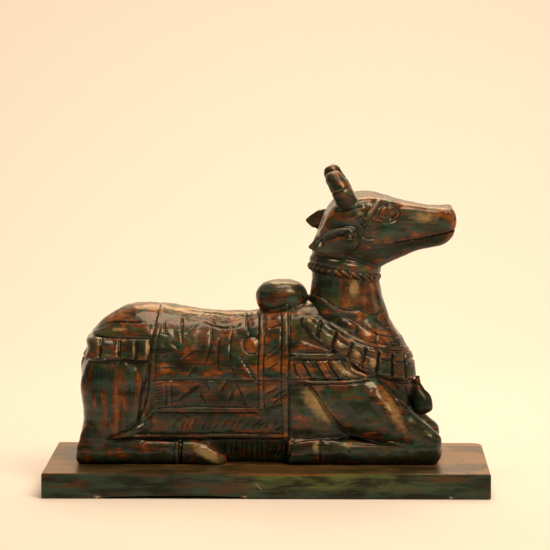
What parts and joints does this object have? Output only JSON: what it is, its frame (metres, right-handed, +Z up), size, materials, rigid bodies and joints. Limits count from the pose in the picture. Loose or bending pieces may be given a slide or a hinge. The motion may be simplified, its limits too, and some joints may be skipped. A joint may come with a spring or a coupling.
{
  "type": "nandi bull figure",
  "caption": "Reclining bull in carved temple dress, head raised, with a collar and breast bell, on a flat oblong plinth.",
  "frame": {"origin": "middle of the plinth's underside", "axes": "+X towards the muzzle, +Y towards the bull's left flank, +Z up"},
  "size_m": [0.45, 0.21, 0.3266],
  "materials": {
    "painted_carving": "dark green and near-black paint rubbed through to copper brown, satin",
    "painted_plinth": "dark green paint over brown, worn along the edges, satin"
  },
  "bodies": {
    "root": {"bull": "painted_carving", "plinth": "painted_plinth"}
  },
  "joints": []
}
